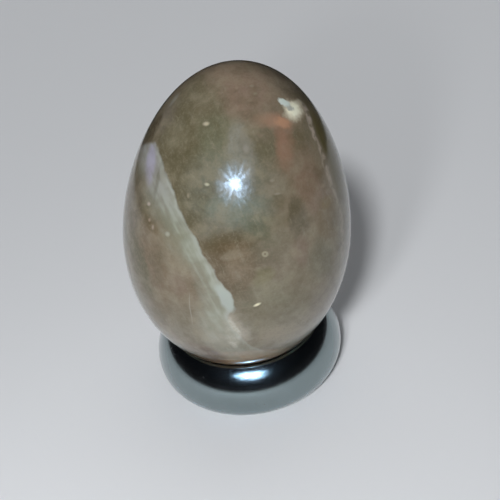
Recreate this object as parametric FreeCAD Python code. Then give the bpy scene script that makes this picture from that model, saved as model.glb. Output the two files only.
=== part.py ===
import FreeCAD, Part
import math
import os

# A polished stone egg that rests by its blunt end in a polished ring stand. Millimetres and degrees.
# Origin: the centre of the ring's resting face. +Z is up, and the egg leans towards +X.

# The egg, measured along and across its own axis, from its blunt end
egg_length = 47.8
egg_diameter = 33.7
egg_widest_height = 20.7
egg_blunt_share = 0.93175
egg_blunt_angle = 50.0
egg_flank_share = 0.558
egg_point_share = 0.619
egg_lean = 8.2

# The ring stand: its bore, its wall, and how its outside swells between the resting face and the rim
ring_bore_diameter = 19.0
ring_wall = 5.5
ring_height = 8.8
ring_widest_height = 2.85
ring_foot_inset = 2.45
ring_foot_curve = 3.6
ring_side_share = 0.55
ring_shoulder_share = 0.57
ring_shoulder_angle = 53.0
ring_rim_round = 0.5
ring_bore_chamfer = 0.6

# The bevelled seat inside the rim: its width across the ring, and the gap that it leaves under the egg
seat_width = 2.35
seat_clearance = 0.1

egg_blunt_radius = egg_blunt_share * egg_diameter / 2
bore_radius = ring_bore_diameter / 2
rim_radius = bore_radius + seat_width
seat_radius = (bore_radius + rim_radius) / 2
seat_sphere_radius = egg_blunt_radius + seat_clearance
seat_slope = math.degrees(math.asin(seat_radius / seat_sphere_radius))


def heading(angle):
    """The unit vector in the XZ plane at this angle from +X towards +Z."""
    turn = math.radians(angle)
    return FreeCAD.Vector(math.cos(turn), 0, math.sin(turn))


def across(first, second):
    """The area that two vectors in the XZ plane span, positive where the second is to the left."""
    return first.x * second.z - first.z * second.x


def bend(start, start_angle, start_curve, end, end_angle, end_share):
    """A cubic curve that turns left from one heading to another, and its radius of curvature at the end.

    It starts with the radius of curvature given, so that it carries on smoothly from the curve before.
    end_share is how far its last handle reaches back to the corner where its two end tangents cross.
    """
    leave, arrive = heading(start_angle), heading(end_angle)
    turn = across(leave, arrive)
    leave_to_corner = across(end - start, arrive) / turn
    corner_to_end = across(leave, end - start) / turn
    leave_reach = math.sqrt(start_curve * corner_to_end * (1 - end_share) * turn * 2 / 3)
    arrive_reach = end_share * corner_to_end
    end_curve = arrive_reach ** 2 * 3 / 2 / ((leave_to_corner - leave_reach) * turn)
    curve = Part.BezierCurve()
    curve.setPoles([start, start + leave * leave_reach, end - arrive * arrive_reach, end])
    return curve.toShape(), end_curve


def arc(centre, radius, start_angle, end_angle):
    """A circular arc in the XZ plane, between two directions from its centre."""
    angles = (start_angle, (start_angle + end_angle) / 2, end_angle)
    return Part.Arc(*[centre + heading(angle) * radius for angle in angles]).toShape()


def line(start, end):
    return Part.LineSegment(start, end).toShape()


def turned(edges):
    """The solid that a closed outline in the XZ plane sweeps in a full turn about Z."""
    face = Part.Face(Part.Wire(edges))
    return face.revolve(FreeCAD.Vector(), FreeCAD.Vector(0, 0, 1), 360)


def rim_centre():
    """The centre of the rim's rounding, in the ring's section."""
    return FreeCAD.Vector(rim_radius, 0, ring_height - ring_rim_round)


def seat_start():
    """The point of the ring's section where the rounded rim turns into the bevelled seat."""
    return rim_centre() + heading(90 + seat_slope) * ring_rim_round


def seated_height():
    """How high the centre of the blunt end's sphere stands when the sphere rests on the seat."""
    start = seat_start()
    slope = math.radians(seat_slope)
    return start.z + (seat_sphere_radius - start.x * math.sin(slope)) / math.cos(slope)


def egg():
    """One ovoid whose blunt end is a true sphere, so that it seats on the ring at any lean."""
    blunt_end = FreeCAD.Vector()
    blunt_centre = FreeCAD.Vector(0, 0, egg_blunt_radius)
    blunt_edge = blunt_centre + heading(egg_blunt_angle - 90) * egg_blunt_radius
    widest = FreeCAD.Vector(egg_diameter / 2, 0, egg_widest_height)
    point = FreeCAD.Vector(0, 0, egg_length)
    cap = arc(blunt_centre, egg_blunt_radius, -90, egg_blunt_angle - 90)
    flank, flank_curve = bend(blunt_edge, egg_blunt_angle, egg_blunt_radius, widest, 90, egg_flank_share)
    top, _ = bend(widest, 90, flank_curve, point, 180, egg_point_share)
    solid = turned([cap, flank, top, line(point, blunt_end)])
    solid.rotate(blunt_centre, FreeCAD.Vector(0, 1, 0), egg_lean)
    solid.translate(FreeCAD.Vector(0, 0, seated_height() - egg_blunt_radius))
    return solid


def ring_stand():
    """A thick ring with a flat foot, a swelling outside, a rounded rim, a bevelled seat and a bore."""
    foot_inner = FreeCAD.Vector(bore_radius + ring_bore_chamfer, 0, 0)
    foot_outer = FreeCAD.Vector(bore_radius + ring_wall - ring_foot_inset, 0, 0)
    widest = FreeCAD.Vector(bore_radius + ring_wall, 0, ring_widest_height)
    shoulder = rim_centre() + heading(ring_shoulder_angle) * ring_rim_round
    seat_drop = (seat_start().x - bore_radius) * math.tan(math.radians(seat_slope))
    bore_top = FreeCAD.Vector(bore_radius, 0, seat_start().z - seat_drop)
    bore_foot = FreeCAD.Vector(bore_radius, 0, ring_bore_chamfer)
    side, side_curve = bend(foot_outer, 0, ring_foot_curve, widest, 90, ring_side_share)
    swell, _ = bend(widest, 90, side_curve, shoulder, 90 + ring_shoulder_angle, ring_shoulder_share)
    return turned([
        line(foot_inner, foot_outer),
        side,
        swell,
        arc(rim_centre(), ring_rim_round, ring_shoulder_angle, 90 + seat_slope),
        line(seat_start(), bore_top),
        line(bore_top, bore_foot),
        line(bore_foot, foot_inner),
    ])


os.makedirs("parts", exist_ok=True)
egg().exportStep("parts/egg.step")
ring_stand().exportStep("parts/ring_stand.step")
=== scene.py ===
import math
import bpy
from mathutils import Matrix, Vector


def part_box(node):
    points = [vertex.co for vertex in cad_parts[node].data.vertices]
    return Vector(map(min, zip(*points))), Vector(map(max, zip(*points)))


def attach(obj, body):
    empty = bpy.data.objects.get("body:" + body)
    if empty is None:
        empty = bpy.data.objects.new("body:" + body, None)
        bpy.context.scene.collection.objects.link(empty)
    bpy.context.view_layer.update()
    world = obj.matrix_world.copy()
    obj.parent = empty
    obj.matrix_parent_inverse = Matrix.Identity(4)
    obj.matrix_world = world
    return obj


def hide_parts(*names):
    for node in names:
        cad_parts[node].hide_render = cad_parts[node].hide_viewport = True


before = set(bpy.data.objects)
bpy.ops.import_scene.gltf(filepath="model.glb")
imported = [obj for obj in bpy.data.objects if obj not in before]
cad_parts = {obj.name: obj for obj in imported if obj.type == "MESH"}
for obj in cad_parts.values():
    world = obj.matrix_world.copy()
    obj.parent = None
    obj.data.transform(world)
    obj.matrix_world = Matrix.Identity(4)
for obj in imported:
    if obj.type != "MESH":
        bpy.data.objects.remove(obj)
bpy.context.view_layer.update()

from types import SimpleNamespace

import bpy
from mathutils import Color, Matrix, Vector

# A polished translucent stone egg, resting in a polished hematite ring. Metres and degrees.
# +Z is up, the origin is the centre of the ring's resting face, and the egg leans towards +X.
MM = 0.001

# The view of the photograph: where the camera looks, from how far, and how it is turned
VIEW_TARGET = Vector((2.30, 0, 21.31)) * MM
VIEW_DISTANCE = 130 * MM
VIEW_ELEVATION = 38.25
VIEW_ROLL = -8.52
VIEW_LENS = 61.82
VIEW_NEAREST = 1 * MM
VIEW_FARTHEST = 20

# The egg's outline, from its blunt end
EGG_DIAMETER = 2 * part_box("egg")[1].y
EGG_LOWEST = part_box("egg")[0].z
EGG_LENGTH = 47.8 * MM
EGG_WIDEST_HEIGHT = 20.7 * MM
EGG_BLUNT_SHARE = 0.93175
EGG_BLUNT_RADIUS = EGG_BLUNT_SHARE * EGG_DIAMETER / 2
EGG_BLUNT_ANGLE = 50.0
EGG_FLANK_SHARE = 0.558
EGG_POINT_SHARE = 0.619
EGG_LEAN = 8.2

# The ring's outline
RING_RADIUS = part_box("ring_stand")[1].x
RING_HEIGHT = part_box("ring_stand")[1].z
RING_BORE_RADIUS = 9.5 * MM
RING_WIDEST_HEIGHT = 2.85 * MM
RING_FOOT_INSET = 2.45 * MM
RING_FOOT_CURVE = 3.6 * MM
RING_SIDE_SHARE = 0.55
RING_SHOULDER_SHARE = 0.57
RING_SHOULDER_ANGLE = 53.0
RING_RIM_ROUND = 0.5 * MM
RING_BORE_CHAMFER = 0.6 * MM
SEAT_WIDTH = 2.35 * MM
SEAT_CLEARANCE = 0.1 * MM

# How finely the outlines are divided, and how near to the axis a point is taken to lie on it
TURN_STEPS = 256
CURVE_STEPS = 40
LINE_STEPS = 6
ON_AXIS = 1e-9

# The suns: name, azimuth, elevation, energy and how wide each looks
SUNS = (
    ("key", -17, 44, 1.75, 7),
    ("dome", 0, 88, 0.1, 150),
    ("fill", 165, 50, 0.5, 60),
)
# The flash: how far it lies from the view's target towards the camera, to the left and below
FLASH_TOWARDS = 112 * MM
FLASH_LEFT = 30 * MM
FLASH_BELOW = 10 * MM
FLASH_ENERGY = 0.205
FLASH_RADIUS = 7 * MM

# The dark card: its elevations, how high it is fully dark, and its distances in front and behind
CARD_COLUMNS = 72
CARD_ROWS = 14
CARD_LOWEST = 0.3
CARD_DARK = 5
CARD_HIGHEST = 84
CARD_IN_FRONT = 200 * MM
CARD_BEHIND = 100 * MM
CARD_CLOSING = 1.5
CARD_BLACK = (0.01, 0.01, 0.012, 1)

# The bright card, in millimetres: its reach, its place beside the camera, and how its glow falls off
GLINT_REACH = 60
GLINT_LEFT = 7.0
GLINT_BELOW = 22.6
GLINT_FLATTENING = 1.6
GLINT_CORE = 13.0
GLINT_STRENGTH = 73.0
GLINT_FALL = 1.45
GLINT_FADED = 58.0
GLINT_FULL = 36.0
GLINT_COLOUR = (0.5, 0.72, 1.0, 1)

# The floor and the room: its walls, its ceiling, the elevations between which they blend, and the light they give
FLOOR_REACH = 3.0
FLOOR_COLOUR = (0.74, 0.76, 0.79, 1)
WALL_COLOUR = (0.413, 0.429, 0.445, 1)
CEILING_COLOUR = (0.012, 0.012, 0.014, 1)
WALL_TOP = 26
CEILING_FOOT = 42
WALL_LIGHT = 0.2


def heading(angle):
    """The unit vector in the XZ plane at this angle from +X towards +Z."""
    turn = math.radians(angle)
    return Vector((math.cos(turn), 0, math.sin(turn)))


def across(first, second):
    """The area that two vectors in the XZ plane span, positive where the second is to the left."""
    return first.x * second.z - first.z * second.x


def bend(start, start_angle, start_curve, end, end_angle, end_share):
    """Points of a cubic curve that turns left between two headings, and its radius of curvature at the end."""
    leave, arrive = heading(start_angle), heading(end_angle)
    turn = across(leave, arrive)
    leave_to_corner = across(end - start, arrive) / turn
    corner_to_end = across(leave, end - start) / turn
    leave_reach = math.sqrt(start_curve * corner_to_end * (1 - end_share) * turn * 2 / 3)
    arrive_reach = end_share * corner_to_end
    end_curve = arrive_reach ** 2 * 3 / 2 / ((leave_to_corner - leave_reach) * turn)
    poles = [start, start + leave * leave_reach, end - arrive * arrive_reach, end]
    points = []
    for step in range(CURVE_STEPS + 1):
        t = step / CURVE_STEPS
        weights = ((1 - t) ** 3, 3 * t * (1 - t) ** 2, 3 * t * t * (1 - t), t ** 3)
        points.append(sum((pole * weight for pole, weight in zip(poles, weights)), Vector()))
    return points, end_curve


def arc(centre, radius, start_angle, end_angle):
    """Points of a circular arc in the XZ plane."""
    angles = [start_angle + (end_angle - start_angle) * k / CURVE_STEPS for k in range(CURVE_STEPS + 1)]
    return [centre + heading(angle) * radius for angle in angles]


def line(start, end):
    """Points of a straight run."""
    return [start.lerp(end, k / LINE_STEPS) for k in range(LINE_STEPS + 1)]


def placed(name, data):
    """A new object of this name and data, in the scene at the origin."""
    piece = bpy.data.objects.new(name, data)
    bpy.context.scene.collection.objects.link(piece)
    return piece


def joined(runs, corners, closed):
    """The runs as one outline, and its sharp points: those at which a run in corners starts."""
    outline, sharp = [], set()
    for number, run in enumerate(runs):
        if number in corners:
            sharp.add(len(outline) - 1 if outline else 0)
        outline += run[1:] if outline else run
    if closed:
        outline.pop()
    return outline, sharp


def turned(name, runs, corners=(), closed=False):
    """A mesh that an outline sweeps in a full turn about Z. Its faces meet sharply where a run in corners starts."""
    outline, sharp = joined(runs, corners, closed)
    rows, points = [], []
    for place in outline:
        if place.x < ON_AXIS:
            rows.append([len(points)] * TURN_STEPS)
            points.append(place)
            continue
        rows.append(list(range(len(points), len(points) + TURN_STEPS)))
        for step in range(TURN_STEPS):
            points.append(Matrix.Rotation(math.tau * step / TURN_STEPS, 3, "Z") @ place)
    around = [(k, (k + 1) % TURN_STEPS) for k in range(TURN_STEPS)]
    faces = []
    for low, high in zip(rows, rows[1:] + rows[:1] if closed else rows[1:]):
        for k, after in around:
            faces.append(list(dict.fromkeys((low[k], low[after], high[after], high[k]))))
    mesh = bpy.data.meshes.new(name)
    mesh.from_pydata(points, [], faces)
    mesh.shade_smooth()
    hard = {frozenset((rows[row][k], rows[row][after])) for row in sharp for k, after in around}
    for edge in mesh.edges:
        edge.use_edge_sharp = frozenset(edge.vertices) in hard
    return placed(name, mesh)


def panel(name, reach):
    """A flat square in the XY plane that reaches this far from its middle."""
    mesh = bpy.data.meshes.new(name)
    corners = [(-reach, -reach, 0), (reach, -reach, 0), (reach, reach, 0), (-reach, reach, 0)]
    mesh.from_pydata(corners, [], [(0, 1, 2, 3)])
    return placed(name, mesh)


def egg():
    """The stone egg: a spherical blunt end, full flanks and a rounder point, leaning in its seat."""
    blunt_centre = Vector((0, 0, EGG_BLUNT_RADIUS))
    blunt_edge = blunt_centre + heading(EGG_BLUNT_ANGLE - 90) * EGG_BLUNT_RADIUS
    widest = Vector((EGG_DIAMETER / 2, 0, EGG_WIDEST_HEIGHT))
    cap = arc(blunt_centre, EGG_BLUNT_RADIUS, -90, EGG_BLUNT_ANGLE - 90)
    flank, flank_curve = bend(blunt_edge, EGG_BLUNT_ANGLE, EGG_BLUNT_RADIUS, widest, 90, EGG_FLANK_SHARE)
    top, _ = bend(widest, 90, flank_curve, Vector((0, 0, EGG_LENGTH)), 180, EGG_POINT_SHARE)
    cap[0].x = top[-1].x = 0
    piece = turned("polished_egg", [cap, flank, top])
    lean = Matrix.Rotation(math.radians(EGG_LEAN), 4, "Y")
    seat = Matrix.Translation((0, 0, EGG_LOWEST + EGG_BLUNT_RADIUS))
    piece.data.transform(seat @ lean @ Matrix.Translation(-blunt_centre))
    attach(piece, "egg")
    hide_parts("egg")
    return piece


def ring_stand():
    """The ring: a flat foot, a swelling outside, a rounded rim, a bevelled seat and a bore."""
    rim_centre = Vector((RING_BORE_RADIUS + SEAT_WIDTH, 0, RING_HEIGHT - RING_RIM_ROUND))
    seat_radius = RING_BORE_RADIUS + SEAT_WIDTH / 2
    seat_slope = math.degrees(math.asin(seat_radius / (EGG_BLUNT_RADIUS + SEAT_CLEARANCE)))
    seat_start = rim_centre + heading(90 + seat_slope) * RING_RIM_ROUND
    seat_drop = (seat_start.x - RING_BORE_RADIUS) * math.tan(math.radians(seat_slope))
    bore_top = Vector((RING_BORE_RADIUS, 0, seat_start.z - seat_drop))
    bore_foot = Vector((RING_BORE_RADIUS, 0, RING_BORE_CHAMFER))
    foot_inner = Vector((RING_BORE_RADIUS + RING_BORE_CHAMFER, 0, 0))
    foot_outer = Vector((RING_RADIUS - RING_FOOT_INSET, 0, 0))
    widest = Vector((RING_RADIUS, 0, RING_WIDEST_HEIGHT))
    shoulder = rim_centre + heading(RING_SHOULDER_ANGLE) * RING_RIM_ROUND
    side, side_curve = bend(foot_outer, 0, RING_FOOT_CURVE, widest, 90, RING_SIDE_SHARE)
    swell, _ = bend(widest, 90, side_curve, shoulder, 90 + RING_SHOULDER_ANGLE, RING_SHOULDER_SHARE)
    runs = [
        line(foot_inner, foot_outer),
        side,
        swell,
        arc(rim_centre, RING_RIM_ROUND, RING_SHOULDER_ANGLE, 90 + seat_slope),
        line(seat_start, bore_top),
        line(bore_top, bore_foot),
        line(bore_foot, foot_inner),
    ]
    piece = turned("polished_ring", runs, corners=(0, 5, 6), closed=True)
    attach(piece, "ring_stand")
    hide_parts("ring_stand")
    return piece


def facing():
    """The photograph's right, up and towards-the-viewer directions, as the columns of a rotation."""
    elevation, roll = math.radians(VIEW_ELEVATION), math.radians(VIEW_ROLL)
    towards = Vector((0, -math.cos(elevation), math.sin(elevation)))
    level, upright = Vector((1, 0, 0)), Vector((0, math.sin(elevation), math.cos(elevation)))
    right = level * math.cos(roll) + upright * math.sin(roll)
    up = upright * math.cos(roll) - level * math.sin(roll)
    return Matrix((right, up, towards)).transposed()


class Pattern:
    """The nodes of a material or world, written as formulas. A value is a number, vector, colour or output."""

    def __init__(self, owner, surface="Principled BSDF"):
        owner.use_nodes = True
        self.tree = owner.node_tree
        self.surface = self.tree.nodes[surface]

    def node(self, kind, *values, **settings):
        """A new node, with these values on its first inputs and these settings."""
        made = self.tree.nodes.new("ShaderNode" + kind)
        for setting, value in settings.items():
            setattr(made, setting, value)
        for socket, value in zip(made.inputs, values):
            self.put(socket, value)
        return made

    def put(self, socket, value):
        """Links an output to a socket, or writes any other value on it."""
        if isinstance(value, bpy.types.NodeSocket):
            self.tree.links.new(value, socket)
        elif value is not None:
            socket.default_value = value

    def finish(self, values):
        """Sets the surface, input by input."""
        for name, value in values.items():
            self.put(self.surface.inputs[name], value)

    def number(self, operation, first, second=None, third=None):
        """The outcome of one sum with numbers."""
        return self.node("Math", first, second, third, operation=operation).outputs[0]

    def vector(self, operation, first, second=None):
        """The outcome of one sum with vectors."""
        return self.node("VectorMath", first, second, operation=operation).outputs[0]

    def product(self, first, *others):
        """All the numbers multiplied."""
        for other in others:
            first = self.number("MULTIPLY", first, other)
        return first

    def scale(self, vector, factor):
        """The vector, this many times as long."""
        made = self.node("VectorMath", vector, operation="SCALE")
        self.put(made.inputs["Scale"], factor)
        return made.outputs[0]

    def fade(self, value, none, full, least=0.0, most=1.0):
        """least where value is at none, most where it is at full, and smoothly between them."""
        made = self.node("MapRange", value, none, full, least, most, interpolation_type="SMOOTHSTEP")
        return made.outputs[0]

    def mix(self, share, first, second):
        """The first colour, with this share of the second."""
        made = self.node("Mix", share, data_type="RGBA")
        self.put(made.inputs[6], first)
        self.put(made.inputs[7], second)
        return made.outputs[2]

    def noise(self, place, size, detail=2.0, roughness=0.5):
        """Noise whose lumps are about size across. The outputs are a number and a colour."""
        made = self.node("TexNoise", place)
        self.put(made.inputs["Scale"], 1 / size)
        self.put(made.inputs["Detail"], detail)
        self.put(made.inputs["Roughness"], roughness)
        return made.outputs

    def blob(self, place, centre, size, turn=0.0, softness=0.6):
        """1 inside an ellipsoid and 0 outside it. softness is how much of its radius the edge takes."""
        around = (0, 0, math.radians(turn))
        reach = 1 + softness / 2
        outer = [extent * reach for extent in size]
        unit = self.node("Mapping", place, centre, around, outer, vector_type="TEXTURE").outputs[0]
        depth = self.node("TexGradient", unit, gradient_type="SPHERICAL").outputs[1]
        return self.fade(depth, 0.0, softness / reach)

    def strayed(self, place, drift, reach):
        """The places, moved by this many times the drift and made ready for many blobs."""
        moved = self.vector("ADD", place, self.scale(drift, reach))
        return self.node("Mapping", moved).outputs[0]

    def laid_over(self, colour, place, stains):
        """The colour, with one blob after another laid over it: stains, and some painted light and reflection."""
        for centre, size, turn, softness, paint, strength in stains:
            share = self.product(self.blob(place, centre, size, turn, softness), strength)
            colour = self.mix(share, colour, tint(paint))
        return colour

    def along(self, value, points, low, high):
        """The height, over value, of a smooth curve through points. Values and heights lie from low to high."""
        share = self.node("MapRange", value, low, high).outputs[0]
        made = self.node("FloatCurve", 1.0, share)
        made.mapping.extend = "HORIZONTAL"
        curve = made.mapping.curves[0]
        places = sorted(((x - low) / (high - low), (y - low) / (high - low)) for x, y in points)
        curve.points[0].location, curve.points[1].location = places[0], places[-1]
        for place in places[1:-1]:
            curve.points.new(*place)
        made.mapping.update()
        return self.node("MapRange", made.outputs[0], 0.0, 1.0, low, high).outputs[0]

    def bump(self, height, strength, distance):
        """The surface's normal, tilted by this height."""
        made = self.node("Bump", strength, distance)
        self.put(made.inputs["Height"], height)
        return made.outputs[0]


# The stone's pattern, in millimetres on the face that the photograph shows: to its right, up it and out of it.
# A stain is its centre, its half sizes, its turn, the softness of its edge, its colour and its strength. One of them
# is a painted reflection.
STAINS_AND_RIM_REFLECTION = (
    ((-5.2, 6.8, 21), (5.8, 8.5, 10), 0, 1.2, (88, 82, 62), 0.6),
    ((9.0, 4.0, 17), (4.5, 13, 9), 0, 1.2, (142, 129, 107), 0.6),
    ((-2.6, 20.8, 20), (7.5, 4.6, 12), 0, 0.9, (146, 127, 111), 0.8),
    ((-1.9, 18.2, 22), (3.2, 2.8, 6), 0, 0.9, (134, 114, 101), 0.6),
    ((5.5, 22.2, 14), (4.5, 2.6, 8), -25, 0.9, (96, 86, 74), 0.75),
    ((-6.6, 18.6, 20.5), (3.2, 4.6, 7), 20, 0.8, (106, 101, 80), 0.85),
    ((-11.0, 17.2, 17.4), (1.5, 2.2, 5), -35, 0.8, (116, 108, 97), 0.8),
    ((-8.2, 10.6, 20.5), (4.6, 6.4, 9), 5, 0.8, (94, 88, 66), 0.85),
    ((-9.4, 14.6, 20.0), (1.7, 2.0, 5), 0, 0.9, (122, 116, 96), 0.8),
    ((-3.6, 13.6, 22.5), (3.0, 3.8, 7), 0, 0.9, (109, 111, 90), 0.75),
    ((-1.0, 12.4, 22.8), (1.6, 3.2, 5), 10, 0.8, (146, 145, 136), 0.7),
    ((-3.0, 7.6, 22), (5.2, 4.6, 8), 0, 1.0, (116, 118, 106), 0.75),
    ((-1.6, 5.2, 21.8), (3.9, 2.0, 6), 5, 0.9, (122, 130, 120), 0.75),
    ((-4.9, 2.9, 20.7), (2.4, 1.4, 5), 20, 0.9, (124, 121, 108), 0.7),
    ((0.9, 3.3, 21.4), (1.9, 1.6, 5), 0, 0.8, (103, 107, 90), 0.7),
    ((-2.4, -2.2, 19.2), (3.6, 4.0, 8), 10, 0.9, (94, 79, 56), 0.95),
    ((-1.3, -1.9, 19.4), (1.9, 2.6, 5), 0, 0.9, (124, 109, 88), 0.7),
    ((1.7, -3.6, 18.0), (1.4, 0.9, 4), 30, 0.9, (112, 108, 74), 0.7),
    ((3.0, -5.6, 16.8), (2.6, 1.6, 5), 0, 0.9, (127, 124, 103), 0.6),
    ((4.0, 1.2, 20.0), (1.3, 3.6, 5), 20, 0.9, (126, 119, 101), 0.5),
    ((3.0, 10.8, 22.0), (1.4, 1.4, 4), 0, 0.9, (128, 118, 100), 0.5),
    ((3.0, 8.0, 21.6), (1.5, 1.4, 4), 0, 0.9, (142, 134, 118), 0.7),
    ((4.3, 12.8, 21.4), (1.3, 3.2, 5), 0, 0.8, (144, 114, 96), 0.75),
    ((6.4, 10.6, 20.2), (2.6, 3.2, 6), 0, 0.9, (134, 116, 99), 0.7),
    ((8.4, 7.4, 18.6), (2.5, 3.4, 6), 15, 0.9, (133, 113, 96), 0.85),
    ((6.0, 14.2, 20.2), (1.0, 2.0, 4), 0, 0.9, (112, 101, 78), 0.6),
    ((6.0, 3.9, 19.0), (1.0, 3.1, 5), 14, 0.8, (100, 92, 75), 0.85),
    ((10.2, 4.0, 15.9), (1.9, 3.0, 5), 12, 0.8, (117, 103, 78), 0.8),
    ((9.9, 6.2, 16.4), (0.8, 0.9, 3), 0, 0.9, (127, 110, 76), 0.6),
    ((6.8, -0.6, 17.2), (1.1, 2.2, 4), 10, 0.9, (128, 111, 96), 0.8),
    ((9.6, -1.4, 14.5), (2.0, 2.6, 5), 0, 0.9, (110, 107, 88), 0.7),
    ((-11.8, -3.4, 14.6), (4.2, 7.4, 8), 22, 0.8, (113, 95, 74), 0.8),
    ((-10.2, -1.4, 16.4), (1.2, 3.6, 5), 22, 0.9, (143, 136, 117), 0.5),
    ((-9.8, -4.4, 15.4), (1.2, 2.0, 4), 25, 0.9, (118, 101, 86), 0.7),
    ((-15.2, -1.6, 11.5), (1.2, 5.2, 6), 14, 0.7, (92, 86, 62), 0.9),
    ((-2.6, -10.8, 13.0), (1.6, 2.8, 5), 8, 0.6, (152, 144, 128), 0.7),
    ((-5.6, -10.6, 12.6), (0.3, 1.5, 4), 34, 0.9, (104, 96, 76), 0.6),
    ((0.8, -10.6, 13.6), (1.4, 2.8, 5), 5, 0.8, (112, 102, 80), 0.6),
    ((-15.6, 6.4, 12.0), (1.3, 4.2, 6), -6, 0.8, (108, 99, 84), 0.8),
    ((-13.2, 15.8, 15.0), (1.2, 2.6, 4), -32, 0.5, (82, 71, 54), 0.9),
    ((-3.6, -11.2, 13.0), (4.0, 3.0, 6), 0, 0.9, (170, 166, 154), 0.8),
    ((-2.6, -11.4, 12.4), (1.0, 2.6, 5), 8, 0.6, (200, 197, 185), 0.75),
    ((-8.6, -9.8, 12.0), (3.6, 3.4, 6), 0, 1.0, (128, 120, 103), 0.7),
    ((4.4, -9.4, 13.0), (5.2, 2.4, 7), -10, 1.0, (122, 118, 98), 0.7),
    ((6.6, -11.4, 9.0), (5.2, 3.0, 7), -16, 1.0, (148, 140, 124), 0.8),
    # A pale stripe along the right rim: painted reflection of the pale floor
    ((13.6, -2.5, 9.0), (1.5, 8.0, 6), -8, 0.9, (146, 140, 126), 0.7),
    ((1.8, -8.6, 15.0), (2.8, 1.6, 5), 0, 0.9, (114, 107, 88), 0.6),
    ((10.6, -7.4, 8.5), (2.2, 4.0, 6), -20, 1.0, (138, 128, 114), 0.75),
)
# The brown band round the foot, partly the stone's own colour and partly painted light where the ring shades it
FOOT_BAND_AND_PAINTED_LIGHT = (
    ((0.6, -17.4, 5.5), (12.0, 3.3, 9), 0, 0.16, (148, 126, 104), 0.9),
    ((2.2, -17.2, 5.0), (9.0, 2.3, 9), 0, 0.5, (174, 138, 102), 0.7),
    ((-6.8, -15.4, 6.4), (3.4, 1.8, 6), -12, 0.7, (80, 56, 38), 0.8),
    ((-13.6, -10.5, 6.0), (1.8, 5.5, 9), -30, 1.0, (104, 90, 66), 0.5),
)
# The other sides of the egg, which the photograph doesn't show
FAR_STAINS = (
    ((6, 12, -10), (6, 5, 6), 20, 0.9, (148, 124, 104), 0.85),
    ((-7, 4, -12), (5, 7, 6), -15, 0.9, (84, 80, 58), 0.85),
    ((4, -6, -12), (7, 4, 6), 10, 0.9, (152, 148, 134), 0.85),
    ((-2, 16, -6), (5, 3, 5), 0, 0.9, (98, 101, 76), 0.8),
    ((15, 2, 0), (4, 7, 7), 0, 0.9, (134, 112, 90), 0.8),
    ((-15, 8, 0), (4, 6, 7), 0, 0.9, (120, 113, 97), 0.8),
)
# Small pale flecks, each with a painted shade below it: centre, half sizes, turn, colour and strength
FLECKS = (
    ((-1.8, 20.5, 21.2), (0.25, 0.2, 0.6), 0, (150, 134, 116), 0.7),
    ((0.1, 20.8, 21.0), (0.32, 0.2, 0.6), 0, (146, 138, 120), 0.8),
    ((0.6, 19.7, 21.4), (0.3, 0.18, 0.6), 20, (140, 133, 113), 0.8),
    ((-0.1, 18.8, 21.9), (0.3, 0.15, 0.6), 0, (135, 122, 104), 0.7),
    ((-5.6, 15.8, 22.0), (0.42, 0.28, 0.8), 10, (182, 174, 152), 1.0),
    ((-5.4, 8.3, 22.0), (0.34, 0.2, 0.8), 0, (178, 177, 156), 1.0),
    ((-6.3, 8.0, 21.6), (0.4, 0.25, 0.8), 10, (128, 122, 104), 0.8),
    ((-7.9, 6.9, 20.8), (0.2, 0.3, 0.8), 0, (146, 138, 120), 0.8),
    ((-13.5, 6.1, 16.4), (0.3, 0.3, 0.8), 0, (176, 166, 156), 1.0),
    ((-13.4, 3.9, 16.3), (0.2, 0.26, 0.8), 0, (156, 140, 124), 0.9),
    ((-12.8, 2.9, 16.3), (0.2, 0.32, 0.8), 0, (160, 148, 134), 0.9),
    ((-10.7, 2.0, 17.9), (0.36, 0.3, 0.8), 0, (168, 170, 156), 0.8),
    ((0.9, -7.3, 15.7), (0.55, 0.2, 0.8), 28, (232, 226, 196), 1.0),
    ((2.6, 8.7, 21.9), (0.35, 0.2, 0.8), 0, (146, 140, 126), 0.7),
    ((3.4, 7.0, 21.3), (0.5, 0.16, 0.8), 0, (148, 142, 127), 0.7),
    ((1.8, 4.0, 21.0), (0.3, 0.3, 0.8), 0, (138, 134, 112), 0.6),
    ((-0.8, 13.8, 22.9), (0.35, 0.7, 0.8), 0, (132, 127, 114), 0.6),
    ((-0.4, 12.6, 22.9), (0.4, 0.55, 0.8), 0, (145, 141, 130), 0.8),
    ((-9.9, 19.7, 17.3), (0.3, 1.1, 1.4), -38, (142, 142, 132), 0.8),
    ((-6.2, 5.6, 21.3), (0.9, 0.12, 0.8), -40, (120, 120, 100), 0.5),
    ((9.8, 8.6, 17.4), (0.5, 0.3, 0.8), 35, (146, 130, 108), 0.7),
)
# A fleck's share of its size, and the painted shade below it: its share, how far below it lies, its colour and its
# strength
FLECK_SHARE = 0.85
PAINTED_SHADE_SHARE = 1.5
PAINTED_SHADE_DROP = 0.22
PAINTED_SHADE_COLOUR = (70, 62, 46)
PAINTED_SHADE_STRENGTH = 0.15
# The rust patch and the cream inclusions near the point
INCLUSIONS = (
    ((3.3, 16.3, 21.4), (2.3, 0.9, 3), 4, 1.3, (158, 128, 108), 0.8),
    ((4.2, 16.2, 21.1), (0.9, 0.6, 3), 0, 1.3, (192, 150, 120), 0.8),
    ((4.5, 13.4, 21.4), (1.0, 2.6, 4), 4, 1.3, (150, 118, 98), 0.45),
    ((5.7, 17.9, 19.3), (1.5, 1.75, 2.5), -15, 0.8, (148, 136, 116), 1.0),
    ((6.3, 19.0, 18.1), (0.65, 0.7, 2.5), -20, 0.8, (178, 170, 150), 1.0),
    ((5.5, 18.0, 19.5), (1.3, 1.4, 2.5), -15, 0.8, (224, 219, 196), 1.0),
    ((5.5, 18.2, 19.6), (0.8, 0.95, 2.5), 0, 0.8, (250, 250, 228), 1.0),
    ((4.9, 18.5, 20.0), (0.7, 0.4, 2.5), -35, 0.8, (186, 190, 180), 1.0),
    ((4.25, 18.95, 20.2), (0.66, 0.5, 2.5), -10, 0.8, (216, 228, 222), 1.0),
)
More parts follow.
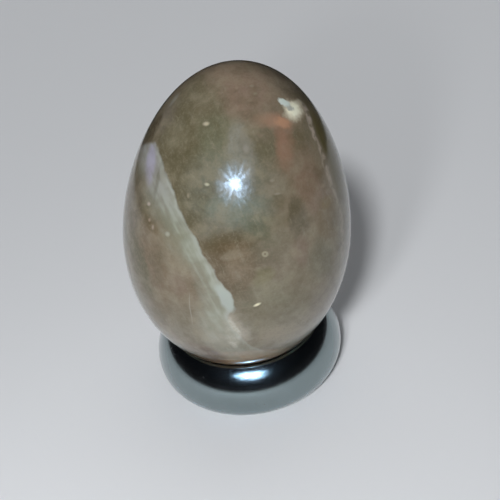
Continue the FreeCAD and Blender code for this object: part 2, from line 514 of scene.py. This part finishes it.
# The bubble with its darker middle, and the healed crack that stands upright near the foot
MARKS = (
    ((1.9, -0.6, 19.2), (0.42, 0.42, 1.5), 0, 0.5, (158, 152, 128), 0.8),
    ((1.9, -0.6, 19.2), (0.14, 0.14, 1.5), 0, 0.6, (112, 104, 84), 0.8),
    ((-8.0, -8.0, 14.0), (0.1, 2.3, 4), 2, 0.8, (158, 151, 138), 0.5),
)
# The vein's own lilac end, its dark gap and the lobe beside that, and the bright lobe at its foot
VEIN_STAINS = (
    ((-13.1, 11.4, 16.6), (0.75, 2.6, 5), -8, 0.8, (170, 168, 184), 1.0),
    ((-11.9, 9.6, 18.2), (0.28, 3.0, 5), -14, 1.2, (96, 96, 78), 0.45),
    ((-11.3, 9.6, 18.6), (0.38, 1.5, 5), 14, 0.7, (156, 158, 150), 1.0),
)
VEIN_LOBES = (
    ((-3.4, -6.3, 16.5), (0.75, 2.1, 5), 30, 0.6, (168, 176, 170), 0.9),
)
# Where the main vein's left and right edges lie at each height, and the veil's line: height, then place
VEIN_LEFT = ((-16, -7), (-12, -7), (-9, -7), (-7, -6.6), (-4, -7.2), (-2, -8.7), (0, -10.3), (2, -11.3),
             (4, -12.6), (6, -13.5), (8, -14.2), (10, -14.6), (12, -15.4), (14.3, -15.9), (16, -16))
VEIN_RIGHT = ((-16, 0.5), (-12.5, -0.9), (-10.5, -2.6), (-9, -2.9), (-8, -2.4), (-7.2, -2.1), (-5.9, -2.6),
              (-4.6, -3.5), (-3.3, -4.4), (-2.1, -5.1), (-0.6, -6.0), (0.4, -6.5), (1.9, -7.3), (3, -8.0),
              (4.5, -8.5), (6.2, -9.4), (7.4, -9.8), (9, -10.5), (10.6, -11.1), (12.4, -11.6), (14, -12.2),
              (16, -13))
VEIL = ((-4, 13), (3.4, 12.7), (5.2, 12.3), (7.4, 11.4), (9.3, 10.6), (11.2, 9.9), (12.5, 9.5), (13.7, 8.9),
        (14.6, 8.5), (15.7, 8.1), (17.2, 7.6), (19, 6.9), (22, 5.5))
# Between which values these curves are drawn, and how far across the vein moves as it dips
CURVE_LOW = -20.0
CURVE_HIGH = 24.0
VEIN_DIP = 9.0

# The stone's other colours, and how light all of them are under these lamps
STONE_LIGHT = 0.86
OLIVE = (112, 106, 87)
BROWN = (126, 113, 97)
MOSS = (106, 105, 84)
MOTTLE_PALE = (150, 140, 120)
MOTTLE_DARK = (88, 80, 60)
STREAK = (140, 134, 118)
PATCH_PALE = (148, 140, 120)
PATCH_DARK = (92, 86, 64)
HEALED = (156, 150, 130)
VEIN_DULL = (141, 143, 127)
VEIN_MILKY = (157, 162, 149)
VEIN_TOP = (156, 156, 156)
VEIN_RIM = (166, 171, 162)
# The darker stone beyond the veil: partly clear stone, partly painted shade at the rim
VEIL_CLEAR_AND_SHADE = (100, 92, 60)
VEIL_PALE = (184, 172, 158)
# The size of each layer of patches and its strength, and of each net of healed cracks and its width
PATCHES = ((2.6, 0.32), (0.8, 0.12), (0.3, 0.14))
HEALED_NETS = ((5.5, 0.009), (3.1, 0.012))
# The grain runs with the vein: its turn, and how long its streaks are
GRAIN_TURN = 26
GRAIN_SIZE = (0.5, 4.0, 2.0)
# How far out of the view's middle plane the photographed face lies, and the far one behind it
FACE_DEPTH = 9.0
FAR_DEPTH = -9.0

# The ring's hematite, in millimetres: its greys, each scratch's turn and length, and its dust
HEMATITE_DARK = (0.235, 0.295, 0.3, 1)
HEMATITE_PALE = (0.285, 0.345, 0.355, 1)
SCRATCHES = ((35, 2.4), (-50, 1.6), (80, 2.0))
SCRATCH_WIDTH = 0.05
SCRATCH_ROUGHNESS = 0.1
DUST_SPACING = 1.5
DUST_GREY = (0.2, 0.2, 0.2, 1)


def tint(paint):
    """A colour of the stone, written from 0 to 255 as in a picture, as the shader's linear values."""
    linear = Color([level / 255 for level in paint]).from_srgb_to_scene_linear()
    return tuple(linear * STONE_LIGHT) + (1,)


def stone_places(p):
    """Where the stone's pattern is looked up: the true places, and others that stray from them more and more."""
    at = SimpleNamespace()
    local = p.node("TexCoord").outputs["Object"]
    turn = tuple(facing().to_euler())
    at.true = p.node("Mapping", local, VIEW_TARGET, turn, (MM, MM, MM), vector_type="TEXTURE").outputs[0]
    at.depth = p.node("SeparateXYZ", at.true).outputs[2]
    slow = p.vector("SUBTRACT", p.noise(at.true, 4.0, 2.0)[1], (0.5, 0.5, 0.5))
    quick = p.vector("SUBTRACT", p.noise(at.true, 0.9, 2.0)[1], (0.5, 0.5, 0.5))

    # The pattern strays a little on the face that shows, and more and more behind it
    at.near = p.strayed(at.true, slow, p.fade(at.depth, FACE_DEPTH, FAR_DEPTH, 0.9, 2.0))
    at.uneven = p.strayed(at.near, quick, 0.35)
    at.rough = p.strayed(at.uneven, quick, 0.8)
    far = p.vector("ADD", at.true, p.scale(slow, p.fade(at.depth, FACE_DEPTH, FAR_DEPTH, 2.6, 12.0)))
    at.cloudy = p.strayed(far, quick, 0.8)
    at.side, at.height, _ = p.node("SeparateXYZ", at.uneven).outputs
    around = (0, 0, math.radians(GRAIN_TURN))
    at.grain = p.node("Mapping", at.true, (0, 0, 0), around, GRAIN_SIZE, vector_type="TEXTURE").outputs[0]
    at.clouds = p.noise(at.cloudy, 3.2, 3.0, 0.6)[0]
    return at


def stone_clouds(p, at):
    """Clouds of brown, olive and pink all through the stone, with a painted reflection on its right rim, and the
    brown band round its foot, partly painted light where the ring shades it.
    """
    broad = p.noise(at.true, 9.0, 3.0, 0.55)[0]
    colour = p.mix(p.fade(broad, 0.35, 0.65), tint(OLIVE), tint(BROWN))
    colour = p.mix(p.fade(at.clouds, 0.62, 0.36, 0.0, 0.5), colour, tint(MOSS))
    colour = p.laid_over(colour, at.cloudy, STAINS_AND_RIM_REFLECTION + FAR_STAINS)
    # The foot band: the stone's brown, lightened as painted light where the ring shades the foot
    return p.laid_over(colour, at.true, FOOT_BAND_AND_PAINTED_LIGHT)


def stone_mottling(p, at, colour):
    """Fine mottling, streaks that run with the vein, patches, and healed cracks along the streaks."""
    fine = p.noise(at.true, 1.1, 4.0, 0.65)[0]
    colour = p.mix(p.fade(fine, 0.45, 0.75, 0.0, 0.18), colour, tint(MOTTLE_PALE))
    colour = p.mix(p.fade(fine, 0.5, 0.25, 0.0, 0.14), colour, tint(MOTTLE_DARK))
    streaks = p.noise(at.grain, 1.0, 3.0, 0.6)[0]
    colour = p.mix(p.fade(streaks, 0.5, 0.75, 0.0, 0.25), colour, tint(STREAK))
    for size, strength in PATCHES:
        patches = p.noise(at.near, size, 1.0, 0.5)[0]
        colour = p.mix(p.fade(patches, 0.5, 0.3, 0.0, strength), colour, tint(PATCH_DARK))
        colour = p.mix(p.fade(patches, 0.5, 0.7, 0.0, strength), colour, tint(PATCH_PALE))
    for size, width in HEALED_NETS:
        ridge = p.number("ABSOLUTE", p.number("SUBTRACT", p.noise(at.near, size, 2.0, 0.5)[0], 0.54))
        healed = p.product(p.fade(ridge, width, 0.0), p.fade(streaks, 0.45, 0.65, 0.0, 0.2))
        colour = p.mix(healed, colour, tint(HEALED))
    return colour


def stone_vein(p, at, colour):
    """The pale vein. It dips away through the stone, so its place across depends on the depth."""
    band = p.number("SUBTRACT", at.side, p.fade(at.depth, 12.0, -2.0, 0.0, VEIN_DIP))
    from_left = p.number("SUBTRACT", band, p.along(at.height, VEIN_LEFT, CURVE_LOW, CURVE_HIGH))
    from_right = p.number("SUBTRACT", p.along(at.height, VEIN_RIGHT, CURVE_LOW, CURVE_HIGH), band)
    milky = p.number("ADD", p.noise(at.grain, 1.6, 2.0)[0], p.noise(at.near, 2.4, 2.0)[0])
    share = p.product(
        p.fade(from_left, -1.0, 2.4),
        p.fade(from_right, -0.15, 0.25),
        p.fade(at.height, 14.6, p.fade(at.depth, 6.0, -8.0, 13.9, 3.0)),
        p.fade(at.height, -8.0, -14.0, 1.0, 0.35),
        p.fade(milky, 0.75, 1.15, 0.7, 0.96),
    )
    vein = p.mix(p.fade(milky, 0.8, 1.2), tint(VEIN_DULL), tint(VEIN_MILKY))
    vein = p.mix(p.fade(at.height, 2.0, 11.0, 0.0, 0.7), vein, tint(VEIN_TOP))
    rim = p.product(p.fade(from_right, 1.0, 0.1), p.fade(milky, 0.75, 1.15, 0.45, 1.0), 0.8)
    vein = p.mix(rim, vein, tint(VEIN_RIM))
    vein = p.laid_over(vein, at.uneven, VEIN_STAINS)
    colour = p.mix(share, colour, vein)
    return p.laid_over(colour, at.uneven, VEIN_LOBES)


def stone_veil(p, at, colour):
    """The veil on the right: a thin, broken pale line, with darker stone outside it, partly clear stone and partly
    painted shade.
    """
    beyond = p.number("SUBTRACT", at.side, p.along(at.height, VEIL, CURVE_LOW, CURVE_HIGH))
    front = p.fade(at.depth, 1.0, 12.0)
    # Beyond the veil: darker clear stone, partly painted shade
    clear_and_shaded = p.product(
        p.fade(beyond, 0.1, p.fade(at.depth, 4.0, 14.0, 8.0, 1.0)),
        p.fade(beyond, 6.0, 2.0),
        p.fade(at.height, 4.0, 11.0),
        p.fade(at.height, 19.5, 16.5, 0.3, 1.0),
        p.fade(at.clouds, 0.2, 0.5, 0.75, 1.0),
        front,
    )
    colour = p.mix(clear_and_shaded, colour, tint(VEIL_CLEAR_AND_SHADE))
    pale = p.product(
        p.fade(p.number("ABSOLUTE", beyond), 0.5, 0.08),
        p.fade(p.noise(at.near, 1.1, 2.0)[0], 0.38, 0.6, 0.15, 1.0),
        p.fade(at.height, 20.0, 18.0),
        p.fade(at.height, 8.0, 15.5, 0.3, 1.0),
        front,
    )
    return p.mix(pale, colour, tint(VEIL_PALE))


def stone_marks(p, at, colour):
    """The inclusions, the flecks with painted shade below each, the bubble and the healed crack."""
    colour = p.laid_over(colour, at.rough, INCLUSIONS)
    for centre, size, turn, paint, strength in FLECKS:
        # Painted shade just below each fleck
        below = (centre[0], centre[1] - PAINTED_SHADE_DROP, centre[2])
        painted_shade = p.blob(at.near, below, [s * PAINTED_SHADE_SHARE for s in size], turn, 0.8)
        colour = p.mix(p.product(painted_shade, PAINTED_SHADE_STRENGTH * strength), colour, tint(PAINTED_SHADE_COLOUR))
        fleck = p.blob(at.near, centre, [s * FLECK_SHARE for s in size], turn, 1.4)
        colour = p.mix(p.product(fleck, strength), colour, tint(paint))
    return p.laid_over(colour, at.near, MARKS)


def stone():
    """Translucent banded stone: brown and olive clouds, a pale vein, cream inclusions and fine flecks."""
    material = bpy.data.materials.new("polished_stone")
    p = Pattern(material)
    at = stone_places(p)
    colour = stone_clouds(p, at)
    for layer in (stone_mottling, stone_vein, stone_veil, stone_marks):
        colour = layer(p, at, colour)
    p.finish({
        "Base Color": colour,
        "Roughness": p.fade(p.noise(at.true, 0.6, 3.0)[0], 0.3, 0.7, 0.34, 0.44),
        "IOR": 1.5,
        "Subsurface Weight": 0.35,
        "Subsurface Radius": (1.0, 0.8, 0.55),
        "Subsurface Scale": 2.5 * MM,
        "Specular IOR Level": 0.04,
        "Coat Weight": 1.0,
        "Coat Roughness": 0.05,
        "Coat IOR": 1.5,
        "Normal": p.bump(p.noise(at.true, 1.5, 2.0)[0], 0.3, 0.01 * MM),
    })
    return material


def hematite():
    """Hematite, polished to a dark mirror, with hairline scratches and specks of dust."""
    material = bpy.data.materials.new("polished_hematite")
    p = Pattern(material)
    place = p.scale(p.node("TexCoord").outputs["Object"], 1 / MM)
    colour = p.mix(p.noise(place, 2.5, 3.0)[0], HEMATITE_DARK, HEMATITE_PALE)
    roughness = p.fade(p.noise(place, 0.5, 4.0, 0.7)[0], 0.3, 0.75, 0.05, 0.11)
    height = p.noise(place, 0.12, 2.0)[0]
    for angle, length in SCRATCHES:
        turn = math.radians(angle)
        size = (SCRATCH_WIDTH, length, SCRATCH_WIDTH)
        stretched = p.node("Mapping", place, (0, 0, 0), (turn, turn / 2, turn), size, vector_type="TEXTURE")
        scratch = p.fade(p.noise(stretched.outputs[0], 1.0, 0.0)[0], 0.74, 0.8)
        roughness = p.number("ADD", roughness, p.product(scratch, SCRATCH_ROUGHNESS))
        height = p.number("SUBTRACT", height, scratch)
    cells = p.node("TexVoronoi", place)
    p.put(cells.inputs["Scale"], 1 / DUST_SPACING)
    chosen = p.node("SeparateColor", cells.outputs["Color"]).outputs[0]
    dust = p.product(p.fade(cells.outputs["Distance"], 0.075, 0.03), p.fade(chosen, 0.6, 0.65))
    p.finish({
        "Base Color": p.mix(dust, colour, DUST_GREY),
        "Metallic": p.number("SUBTRACT", 1.0, p.product(dust, 0.8)),
        "Roughness": roughness,
        "Coat Weight": 1.0,
        "Coat Roughness": 0.3,
        "Normal": p.bump(height, 0.08, 0.02 * MM),
    })
    return material


def floor():
    """A plain pale floor, large enough to fill every view and every reflection."""
    piece = panel("floor", FLOOR_REACH)
    material = bpy.data.materials.new("pale_floor")
    Pattern(material).finish({"Base Color": FLOOR_COLOUR, "Roughness": 0.9, "Specular IOR Level": 0.1})
    piece.data.materials.append(material)


def direction(azimuth, elevation):
    """The unit vector from the object towards a viewer at this azimuth and elevation."""
    turn, rise = math.radians(azimuth), math.radians(elevation)
    return Vector((math.sin(turn) * math.cos(rise), -math.cos(turn) * math.cos(rise), math.sin(rise)))


def lamp(name, kind, place, aim, **settings):
    """A lamp that polished surfaces don't mirror."""
    data = bpy.data.lights.new(name, kind)
    for setting, value in settings.items():
        setattr(data, setting, value)
    piece = placed(name, data)
    piece.location = place
    piece.rotation_mode = "QUATERNION"
    piece.rotation_quaternion = (aim - place).to_track_quat("-Z", "Y")
    piece.visible_glossy = False


def lights():
    """Soft light from beside the camera and above, and a weaker one from behind the egg."""
    for name, azimuth, elevation, energy, width in SUNS:
        lamp(name, "SUN", direction(azimuth, elevation), Vector(), energy=energy, angle=math.radians(width))
    right, up, towards = facing().transposed()
    place = VIEW_TARGET + towards * FLASH_TOWARDS - right * FLASH_LEFT - up * FLASH_BELOW
    lamp("flash", "POINT", place, VIEW_TARGET, energy=FLASH_ENERGY, shadow_soft_size=FLASH_RADIUS)


def only_mirrored(piece):
    """Leaves a card to be seen in mirrors alone."""
    piece.visible_camera = False
    piece.visible_diffuse = False
    piece.visible_shadow = False


def dark_card():
    """The dark card all round the object that the polish mirrors. It is nearer behind, and fades at its foot."""
    places = []
    for row in range(CARD_ROWS + 1):
        elevation = CARD_LOWEST + (CARD_HIGHEST - CARD_LOWEST) * row / CARD_ROWS
        for column in range(CARD_COLUMNS):
            azimuth = 360 * column / CARD_COLUMNS
            behind = (1 - math.cos(math.radians(azimuth))) / 2
            reach = CARD_IN_FRONT + (CARD_BEHIND - CARD_IN_FRONT) * behind ** CARD_CLOSING
            places.append(direction(azimuth, elevation) * reach)
    faces = []
    for start in range(0, CARD_ROWS * CARD_COLUMNS, CARD_COLUMNS):
        for column in range(CARD_COLUMNS):
            first, after = start + column, start + (column + 1) % CARD_COLUMNS
            faces.append((first, after, after + CARD_COLUMNS, first + CARD_COLUMNS))
    mesh = bpy.data.meshes.new("dark_card")
    mesh.from_pydata(places, [], faces)
    piece = placed("dark_card", mesh)
    only_mirrored(piece)
    material = bpy.data.materials.new("dark_card")
    p = Pattern(material)
    outwards = p.vector("NORMALIZE", p.node("TexCoord").outputs["Object"])
    height = p.node("SeparateXYZ", outwards).outputs[2]
    p.finish({
        "Base Color": CARD_BLACK,
        "Roughness": 1.0,
        "Specular IOR Level": 0.0,
        "Alpha": p.fade(height, direction(0, CARD_LOWEST).z, direction(0, CARD_DARK).z),
    })
    mesh.materials.append(material)


def glint():
    """The bright card that the polish mirrors. It glows most in the middle and fades in rays."""
    piece = panel("glint", GLINT_REACH * MM)
    turn = facing()
    right, up, towards = turn.transposed()
    spot = VIEW_TARGET + towards * VIEW_DISTANCE - right * GLINT_LEFT * MM - up * GLINT_BELOW * MM
    piece.matrix_world = Matrix.Translation(spot) @ turn.to_4x4()
    only_mirrored(piece)
    material = bpy.data.materials.new("bright_card")
    p = Pattern(material)
    p.tree.nodes.remove(p.surface)
    place = p.vector("MULTIPLY", p.node("TexCoord").outputs["Object"], (1 / MM, GLINT_FLATTENING / MM, 0))
    out = p.node("VectorMath", place, operation="LENGTH").outputs["Value"]
    rays = p.fade(p.noise(p.vector("NORMALIZE", place), 0.4, 2.0)[0], 0.35, 0.65, 1.3, 0.78)
    patches = p.fade(p.noise(place, 9.0, 3.0, 0.6)[0], 0.38, 0.62, 1.3, 0.8)
    uneven = p.number("DIVIDE", p.product(out, rays, patches), GLINT_CORE)
    spread = p.number("MULTIPLY_ADD", uneven, uneven, 1.0)
    fall = p.number("DIVIDE", GLINT_STRENGTH, p.number("POWER", spread, GLINT_FALL))
    strength = p.product(fall, p.fade(out, GLINT_FADED, GLINT_FULL))
    glow = p.node("Emission", GLINT_COLOUR, strength).outputs[0]
    p.tree.links.new(glow, p.tree.nodes["Material Output"].inputs["Surface"])
    piece.data.materials.append(material)


def surroundings():
    """A room with pale walls and a dark ceiling. It shows at full strength, and lights the object less."""
    world = bpy.data.worlds.new("room")
    bpy.context.scene.world = world
    p = Pattern(world, "Background")
    height = p.node("SeparateXYZ", p.node("TexCoord").outputs["Generated"]).outputs[2]
    ceiling = p.fade(height, direction(0, WALL_TOP).z, direction(0, CEILING_FOOT).z)
    paths = p.node("LightPath").outputs
    strength = WALL_LIGHT
    for kind in ("Is Camera Ray", "Is Glossy Ray", "Is Transmission Ray"):
        strength = p.number("MULTIPLY_ADD", paths[kind], 1 - WALL_LIGHT, strength)
    p.finish({
        "Color": p.mix(ceiling, WALL_COLOUR, CEILING_COLOUR),
        "Strength": p.number("MINIMUM", strength, 1.0),
    })


def camera():
    """The camera of the photograph."""
    data = bpy.data.cameras.new("camera")
    data.lens = VIEW_LENS
    data.clip_start = VIEW_NEAREST
    data.clip_end = VIEW_FARTHEST
    piece = placed("camera", data)
    turn = facing()
    piece.matrix_world = Matrix.Translation(VIEW_TARGET + turn.col[2] * VIEW_DISTANCE) @ turn.to_4x4()
    bpy.context.scene.camera = piece


egg().data.materials.append(stone())
ring_stand().data.materials.append(hematite())
floor()
lights()
dark_card()
glint()
surroundings()
camera()
bpy.context.scene.view_settings.view_transform = "Standard"
